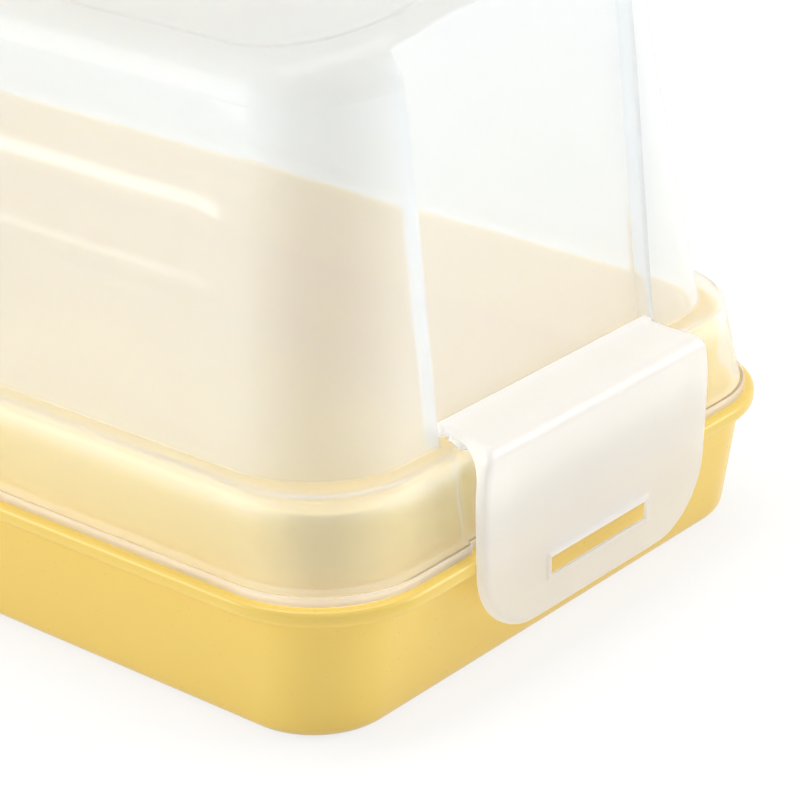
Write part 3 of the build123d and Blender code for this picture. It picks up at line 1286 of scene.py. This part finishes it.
    def __post_init__(self) -> None:
        """Works out the places that follow from the sizes."""
        sizes = self.sizes
        self.hinge_z = sizes.ledge + self.barrel_above_ledge + self.barrel_radius
        wall = sizes.rim_length / 2 - sizes.dome_inset(self.hinge_z, sizes.end_fall) - sizes.bay_depth
        self.hinge_x = wall + self.hinge_from_wall
        self.face = sizes.rim_length / 2 + self.rim_gap + self.depth
        self.flap_top = self.hinge_z + self.barrel_radius
        self.crease_z = self.flap_top - self.flap_fall
        self.slot_top = sizes.rim_underside - self.hook_gap - self.hook_thickness
        self.slot_low = self.slot_top - self.slot_height
        run = self.face - self.hinge_x
        self.flap_dip = math.atan2(self.flap_fall, run)
        self.turn = math.pi / 2 - self.flap_dip
        setback = self.crease_round * math.tan(self.turn / 2)
        self.flap_run = math.hypot(run, self.flap_fall) - setback
        self.crease_run = self.crease_round * self.turn
        self.plate_top = self.crease_z - setback
        self.whole_run = self.flap_run + self.crease_run + self.plate_top - self.bottom
        self.back = self.face - self.depth
        self.flap_under = self.flap_top - self.flap_thickness
        self.throat_start = (self.back - self.throat - self.hinge_x) / math.cos(self.flap_dip)
        self.throat_end = self._on_plate(self.flap_under - self.throat)
        self.slot_start = self._on_plate(self.slot_top)
        self.slot_end = self._on_plate(self.slot_low)

    def _on_plate(self, height: float) -> float:
        """Way along the latch at a height of the plate."""
        return self.flap_run + self.crease_run + self.plate_top - height

    def _profile(self, way: float) -> tuple[float, float, float, float]:
        """Finds the middle line of the outer surface after a way from the hinge.

        Args:
            way: The way along the surface.

        Returns:
            Its place in X and Z, then its outward direction in X and Z.
        """
        dip = self.flap_dip
        if way <= self.flap_run:
            x = self.hinge_x + way * math.cos(dip)
            z = self.flap_top - way * math.sin(dip)
            return x, z, math.sin(dip), math.cos(dip)
        if way <= self.flap_run + self.crease_run:
            angle = dip + (way - self.flap_run) / self.crease_round
            out_x, out_z = math.sin(angle), math.cos(angle)
            x = self.face - self.crease_round + self.crease_round * out_x
            return x, self.plate_top + self.crease_round * out_z, out_x, out_z
        z = self.plate_top - (way - self.flap_run - self.crease_run)
        return self.face, z, 1.0, 0.0

    def _half_width(self, way: float) -> float:
        """Half width of the latch after a way from the hinge."""
        widening = smoothstep((way - self.flare_start) / (self.flare_end - self.flare_start))
        narrowing = max(0.0, way - self.flare_end) / (self.whole_run - self.flare_end)
        return self.flap_half + self.flare * widening - self.taper * narrowing**self.taper_bend

    def _wall_edge(self, way: float) -> tuple[float, float]:
        """Finds the inner edge of the side walls after a way from the hinge.

        Args:
            way: The way along the outer surface.

        Returns:
            The edge's place in X and Z.
        """
        if way <= self.throat_start:
            return self.hinge_x + way * math.cos(self.flap_dip), self.flap_under
        if way < self.throat_end:
            turn = math.pi / 2 * (way - self.throat_start) / (self.throat_end - self.throat_start)
            x = self.back - self.throat + self.throat * math.sin(turn)
            return x, self.flap_under - self.throat + self.throat * math.cos(turn)
        return self.back, self._profile(way)[1]

    def _inside_outline(self, y: float, way: float) -> float:
        """How far a point of the outer surface lies inside its outline.

        Args:
            y: Place across, without its sign.
            way: The way along the surface.

        Returns:
            The distance from the outline, which is below nought outside it.
        """
        over_y = y - (self._half_width(way) - self.bottom_corner)
        over_way = way - (self.whole_run - self.bottom_corner)
        if over_y > 0 and over_way > 0:
            return self.bottom_corner - math.hypot(over_y, over_way)
        return min(self.bottom_corner - over_y, self.bottom_corner - over_way)

    def _place(self, y: float, way: float) -> tuple[float, float, float]:
        """Finds a point of the outer surface, rounded back at its edges and raised round the slot.

        Args:
            y: Place across.
            way: The way along the surface.

        Returns:
            The point.
        """
        x, z, out_x, out_z = self._profile(way)
        inside = max(self._inside_outline(abs(y), way), 0.0)
        back = 0.0
        if inside < self.edge_round:
            back = self.edge_round - math.sqrt(self.edge_round**2 - (self.edge_round - inside)**2)
        lift = 0.0
        if out_z == 0.0:
            below_crease = way - self.flap_run - self.crease_run
            sunk = smoothstep((inside - self.border) / self.border_slope)
            lift = -self.border_rise * sunk * smoothstep(below_crease / self.border_slope)
            near_slot = (self.frame_width - self._off_slot(y, z)) / self.frame_slope
            lift += self.frame_rise * smoothstep(near_slot)
        return x + out_x * (lift - back), y, z - out_z * back

    def _off_slot(self, y: float, z: float) -> float:
        """How far a place of the plate lies outside the slot."""
        off_y = max(abs(y) - self.slot_half, 0.0)
        off_z = max(z - self.slot_top, self.slot_low - z, 0.0)
        return math.hypot(off_y, off_z)

    def _rows(self) -> list[float]:
        """Ways along the latch of the grid's rows, on the middle line."""
        crease_end = self.flap_run + self.crease_run
        rows = spread(0.0, self.flap_run, self.flap_steps)
        rows += spread(self.flap_run, crease_end, self.crease_steps)[1:]
        rows += spread(crease_end, self.slot_start - self.plate_steps_end, self.plate_steps)[1:]
        rows += [self.slot_start - step for step in self.above_slot]
        rows += spread(self.slot_start, self.slot_end, self.slot_steps)
        rows += [self.slot_end + step for step in self.below_slot]
        return rows + [self.whole_run - step for step in self.above_bottom]

    def _columns(self) -> list[tuple[bool, float]]:
        """Lists the grid's columns of one half, from the middle outwards.

        Returns:
            For each column whether it is counted from the side edge, and its distance from there
            or from the middle.
        """
        near = [*self.over_slot, *(self.slot_half + step for step in self.beside_slot)]
        return [(False, place) for place in near] + [(True, gap) for gap in self.beside_edge]

    def _grid(self) -> tuple[list[list[tuple[float, float, float]]], list[list[float]]]:
        """Lays a grid over the outer surface.

        Returns:
            The points row by row, and their ways along the surface row by row.
        """
        kink = self.whole_run - self.bend_height
        rows, ways = [], []
        for base in self._rows():
            half = []
            for from_edge, value in self._columns():
                way = base
                for _ in range(self.settling_steps):
                    width = self._half_width(way)
                    y = width - value if from_edge else value
                    over = max(y - (width - self.bottom_corner), 0.0)
                    rise = self.bottom_corner - math.sqrt(max(self.bottom_corner**2 - over**2, 0.0))
                    if base > kink:
                        end = self.whole_run - rise
                        way = kink + (base - kink) * (end - kink) / (self.whole_run - kink)
                half.append((y, way))
            whole = [(-y, way) for y, way in half[:0:-1]] + half
            rows.append([self._place(y, way) for y, way in whole])
            ways.append([way for _, way in whole])
        return rows, ways

    def _sheet(self) -> tuple[list, list]:
        """Makes the outer skin with its side walls, with the slot left open.

        Returns:
            Its points and its faces.
        """
        rows, ways = self._grid()
        middle = self._rows()
        across = len(rows[0])
        slot_first, slot_last = self.slot_start - TOLERANCE_MM, self.slot_end + TOLERANCE_MM
        points = [point for row in rows for point in row]
        faces = []
        for row in range(len(rows) - 1):
            in_slot_rows = slot_first < middle[row] and middle[row + 1] < slot_last
            for spot in range(across - 1):
                start = row * across + spot
                inner = max(abs(points[start][1]), abs(points[start + 1][1]))
                if in_slot_rows and inner < self.slot_half + TOLERANCE_MM:
                    continue
                faces.append((start, start + across, start + across + 1, start + 1))
        border = [row * across for row in range(len(rows))]
        border += [(len(rows) - 1) * across + spot for spot in range(1, across)]
        border += [row * across + across - 1 for row in range(len(rows) - 2, -1, -1)]
        flat_ways = [way for row in ways for way in row]
        old = border
        for share in spread(0.0, 1.0, self.side_steps)[1:]:
            base = len(points)
            for spot in border:
                edge_x, edge_z = self._wall_edge(flat_ways[spot])
                x, y, z = points[spot]
                points.append((x + (edge_x - x) * share, y, z + (edge_z - z) * share))
            for spot in range(len(border) - 1):
                faces.append((old[spot], base + spot, base + spot + 1, old[spot + 1]))
            old = list(range(base, len(points)))
        return points, faces

    def _hook(self) -> tuple[list, list]:
        """Makes the hook, a bar with a slanting nose.

        Returns:
            Its points and its faces.
        """
        foot = self.face - self.skin + self.hook_root
        tip = self.sizes.rim_length / 2 - self.hook_reach
        low, high = self.slot_top, self.slot_top + self.hook_thickness
        section = [
            (foot, low), (tip + self.hook_nose, low), (tip, high - self.hook_nose),
            (tip, high - self.hook_bevel), (tip + self.hook_bevel, high), (foot, high),
        ]
        half = self.slot_half - self.hook_side_gap
        points = [(x, y, z) for y in (-half, half) for x, z in section]
        count = len(section)
        faces = [tuple(range(count)), tuple(range(2 * count - 1, count - 1, -1))]
        for spot in range(count):
            beside = (spot + 1) % count
            faces.append((spot, count + spot, count + beside, beside))
        return points, faces

    def _barrel(self) -> tuple[list, list]:
        """Makes the barrel with a pin at each end.

        Returns:
            Its points and its faces.
        """
        half, soft, sides = self.flap_half, self.barrel_round, self.barrel_sides
        tip = half + self.pin_length
        lathe = [
            (tip, self.pin_radius - self.pin_bevel), (tip - self.pin_bevel, self.pin_radius),
            (half, self.pin_radius), (half, self.barrel_radius - soft),
            (half - soft, self.barrel_radius),
        ]
        lathe += [(-y, radius) for y, radius in lathe[::-1]]
        points = []
        for y, radius in lathe:
            for turn in range(sides):
                angle = 2 * math.pi * turn / sides
                x = self.hinge_x + radius * math.cos(angle)
                points.append((x, y, self.hinge_z + radius * math.sin(angle)))
        faces = [tuple(range(sides)), tuple(range(len(points) - 1, len(points) - sides - 1, -1))]
        for ring in range(len(lathe) - 1):
            for turn in range(sides):
                start, beside = ring * sides + turn, ring * sides + (turn + 1) % sides
                faces.append((start, start + sides, beside + sides, beside))
        return points, faces

    def _solid(self, name: str, shape: tuple[list, list]) -> bpy.types.Object:
        """Makes one closed part of the latch at its own end.

        Args:
            name: What the part is called.
            shape: Its points, as at the right end, and its faces.

        Returns:
            The part.
        """
        points, faces = shape
        way = self.end.value * MM
        return solid_object(name, [(x * way, y * way, z * MM) for x, y, z in points], faces)

    def _skin_share(self, y: float, z: float) -> float:
        """Thickness of the skin at a place of the plate, as a share: it thins out at the slot."""
        thin = self.slot_skin
        return thin + (1 - thin) * smoothstep(self._off_slot(y, z) / self.frame_width)

    def _thick_sheet(self) -> bpy.types.Object:
        """Gives the sheet its thickness.

        Returns:
            The sheet as a closed mesh.
        """
        points, faces = self._sheet()
        mesh = bpy.data.meshes.new("latch_sheet")
        way = self.end.value * MM
        mesh.from_pydata([(x * way, y * way, z * MM) for x, y, z in points], [], faces)
        sheet = bpy.data.objects.new("latch_sheet", mesh)
        bpy.context.scene.collection.objects.link(sheet)
        flat = bmesh.new()
        flat.from_mesh(mesh)
        bmesh.ops.recalc_face_normals(flat, faces=flat.faces[:])
        middle = max(flat.faces, key=lambda face: face.calc_area())
        if middle.normal.x * self.end.value + middle.normal.z < 0:
            bmesh.ops.reverse_faces(flat, faces=flat.faces[:])
        flat.to_mesh(mesh)
        flat.free()
        thin = sheet.vertex_groups.new(name="thickness")
        for index, (_, y, z) in enumerate(points):
            thin.add([index], self._skin_share(y, z), "REPLACE")
        thicken = sheet.modifiers.new("skin", "SOLIDIFY")
        thicken.vertex_group = thin.name
        thicken.thickness = self.skin * MM
        thicken.offset = -1.0
        thicken.use_even_offset = False
        return self._baked(sheet, f"{self.end.node}_sheet")

    def _baked(self, source: bpy.types.Object, name: str) -> bpy.types.Object:
        """Replaces an object by the plain mesh of its modifiers' result.

        Args:
            source: The object, which is removed.
            name: What the new object is called.

        Returns:
            The new object.
        """
        result = source.evaluated_get(bpy.context.evaluated_depsgraph_get())
        mesh = bpy.data.meshes.new_from_object(result)
        bpy.data.objects.remove(source)
        return finish_object(name, mesh)

    def build(self, finish: bpy.types.Material) -> bpy.types.Object:
        """Makes the latch as one piece, dresses it and puts it on its body.

        Args:
            finish: The material of the latch.

        Returns:
            The latch.
        """
        hook, barrel = self._solid("hook", self._hook()), self._solid("barrel", self._barrel())
        parts = [self._thick_sheet(), hook, barrel]
        whole = bmesh.new()
        for part in parts:
            whole.from_mesh(part.data)
            bpy.data.objects.remove(part)
        mesh = bpy.data.meshes.new(f"{self.end.node}_moulding")
        whole.to_mesh(mesh)
        whole.free()
        piece = finish_object(f"{self.end.node}_moulding", mesh)
        dress(piece, finish)
        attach(piece, f"{self.end.node}_body")
        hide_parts(self.end.node)
        return piece


@dataclass(frozen=True)
class Softbox:
    """An area light that faces a point. Lengths are in metres.

    Attributes:
        name: What the light is called.
        place: Where it stands.
        target: The point it faces.
        size: Its width and height.
        power: Its power in watts.
    """

    name: str
    place: tuple[float, float, float]
    target: tuple[float, float, float]
    size: tuple[float, float]
    power: float

    def build(self) -> None:
        """Adds the light to the scene, unseen by the camera."""
        light = bpy.data.lights.new(self.name, "AREA")
        light.shape = "RECTANGLE"
        light.size, light.size_y = self.size
        light.energy = self.power
        lamp = bpy.data.objects.new(self.name, light)
        lamp.location = self.place
        facing = Vector(self.target) - Vector(self.place)
        lamp.rotation_euler = facing.to_track_quat("-Z", "Y").to_euler()
        lamp.visible_camera = False
        bpy.context.scene.collection.objects.link(lamp)


# The broad softboxes face the middle of what the photograph shows. The two narrow strips off the
# near long side are mirrored as the two white streaks in the dome's long wall.
MIDDLE = (0.12, 0.0, 0.07)
SOFTBOXES = (
    Softbox("left_softbox", (-1.05, -1.05, 0.60), MIDDLE, (1.0, 0.8), 12.0),
    Softbox("right_softbox", (1.20, 1.00, 0.60), MIDDLE, (0.9, 0.8), 11.5),
    Softbox("front_softbox", (1.10, -1.15, 0.55), MIDDLE, (0.9, 0.8), 1.6),
    Softbox("overhead_softbox", (-0.1, 0.1, 1.6), MIDDLE, (1.6, 0.7), 14.5),
    Softbox("upper_strip", (-0.56, -0.5, 0.0612), (-0.56, 0.0, 0.0612), (0.7, 0.005), 0.16),
    Softbox("lower_strip", (-0.56, -0.5, 0.0315), (-0.56, 0.0, 0.0315), (0.7, 0.003), 0.04),
)


@dataclass
class Studio:
    """Pale floor, even white surround and soft lights.

    Attributes:
        floor_half: Half the width of the floor, in metres.
        surround: Strength of the light from all round.
        floor_colour: sRGB colour of the floor.
        floor_roughness: Roughness of the floor.
        floor_glow: Share of the floor's look that is plain white, for a clean ground.
    """

    floor_half: float = 40.0
    surround: float = 0.42
    floor_colour: str = WHITE
    floor_roughness: float = 0.9
    floor_glow: float = 0.78

    def build_world(self) -> None:
        """Makes a white surround that the camera, gloss and clear plastic see as plain white."""
        world = bpy.data.worlds.new("white_surround")
        bpy.context.scene.world = world
        world.use_nodes = True
        tree = world.node_tree
        tree.nodes.clear()
        path = add_node(tree, Shader.LIGHT_PATH)
        seen = self._seen(tree, path)
        strength = add_node(tree, Shader.RAMP, Value=seen, To_Min=self.surround, To_Max=1.0)
        back = add_node(tree, Shader.BACKGROUND, Color=linear(WHITE), Strength=strength.outputs["Result"])
        add_node(tree, Shader.WORLD_OUTPUT, Surface=back.outputs["Background"])

    def _seen(self, tree: bpy.types.NodeTree, path: bpy.types.Node) -> bpy.types.NodeSocket:
        """Tells whether the camera sees a spot directly, in gloss or through clear plastic.

        Args:
            tree: The tree that gets the nodes.
            path: The Light Path node.

        Returns:
            A socket that is one for such a ray and otherwise nought.
        """
        total = path.outputs["Is Camera Ray"]
        for name in ("Is Glossy Ray", "Is Transmission Ray"):
            total = add_node(
                tree, Shader.MATHS, {"operation": "MAXIMUM"}, slot_0=total, slot_1=path.outputs[name],
            ).outputs["Value"]
        unscattered = add_node(
            tree, Shader.MATHS, {"operation": "LESS_THAN"},
            slot_0=path.outputs["Diffuse Depth"], slot_1=BEFORE_SCATTER,
        )
        direct = add_node(
            tree, Shader.MATHS, {"operation": "MULTIPLY"},
            slot_0=total, slot_1=unscattered.outputs["Value"],
        )
        return direct.outputs["Value"]

    def build_floor(self) -> bpy.types.Object:
        """Makes the floor that the container stands on.

        Returns:
            The floor.
        """
        half = self.floor_half
        corners = [(-half, -half, 0), (half, -half, 0), (half, half, 0), (-half, half, 0)]
        mesh = bpy.data.meshes.new("floor")
        mesh.from_pydata(corners, [], [(0, 1, 2, 3)])
        floor = bpy.data.objects.new("floor", mesh)
        bpy.context.scene.collection.objects.link(floor)
        material, tree = new_material("matt_white_board")
        paper = add_node(
            tree, Shader.PRINCIPLED,
            Base_Color=linear(self.floor_colour), Roughness=self.floor_roughness,
        )
        glow = add_node(tree, Shader.EMISSION, Color=linear(WHITE), Strength=1.0)
        path = add_node(tree, Shader.LIGHT_PATH)
        share = add_node(
            tree, Shader.MATHS, {"operation": "MULTIPLY"},
            slot_0=self._seen(tree, path), slot_1=self.floor_glow,
        )
        mixed = add_node(
            tree, Shader.MIX, slot_0=share.outputs["Value"], slot_1=paper.outputs["BSDF"],
            slot_2=glow.outputs["Emission"],
        )
        add_node(tree, Shader.OUTPUT, Surface=mixed.outputs["Shader"])
        dress(floor, material)
        return floor

    def build(self) -> None:
        """Makes the floor, the surround and the lights."""
        self.build_world()
        self.build_floor()
        for softbox in SOFTBOXES:
            softbox.build()


@dataclass(frozen=True)
class Viewpoint:
    """The photograph's camera.

    Attributes:
        place_mm: Where the camera stands.
        azimuth_deg: Turn of the camera about the vertical.
        elevation_deg: How far the camera looks down.
        focal_px: Focal length in pixels of the photograph.
        picture_px: Width of the photograph.
        film_mm: Width of the film.
        near_clip_mm: Distance from which on the camera sees things.
    """

    place_mm: tuple[float, float, float] = (533.2, -488.1, 325.1)
    azimuth_deg: float = 39.11
    elevation_deg: float = 24.31
    focal_px: float = 3027.0
    picture_px: int = 800
    film_mm: float = 36.0
    near_clip_mm: float = 10.0

    def build(self) -> None:
        """Makes the camera and gives it to the scene."""
        data = bpy.data.cameras.new("camera")
        data.sensor_width = self.film_mm
        data.lens = self.focal_px / self.picture_px * self.film_mm
        data.clip_start = self.near_clip_mm * MM
        camera = bpy.data.objects.new("camera", data)
        camera.location = Vector(self.place_mm) * MM
        camera.rotation_euler = (math.radians(90 - self.elevation_deg), 0, math.radians(self.azimuth_deg))
        bpy.context.scene.collection.objects.link(camera)
        bpy.context.scene.camera = camera


def main() -> None:
    """Builds everything in order."""
    logging.basicConfig(level=logging.INFO, format="%(message)s")
    scene = bpy.context.scene
    scene.view_settings.view_transform = "Standard"
    Viewpoint().build()
    Studio().build()
    sizes = ContainerSizes()
    Tray(sizes).build(TRAY_PLASTIC.build())
    Cover(sizes).build(DOME_PLASTIC.build(), SKIRT_PLASTIC.build(), LIP_PLASTIC.build())
    milky = LATCH_PLASTIC.build()
    for end in End:
        Latch(sizes, end).build(milky)


if __name__ == "__main__":
    main()
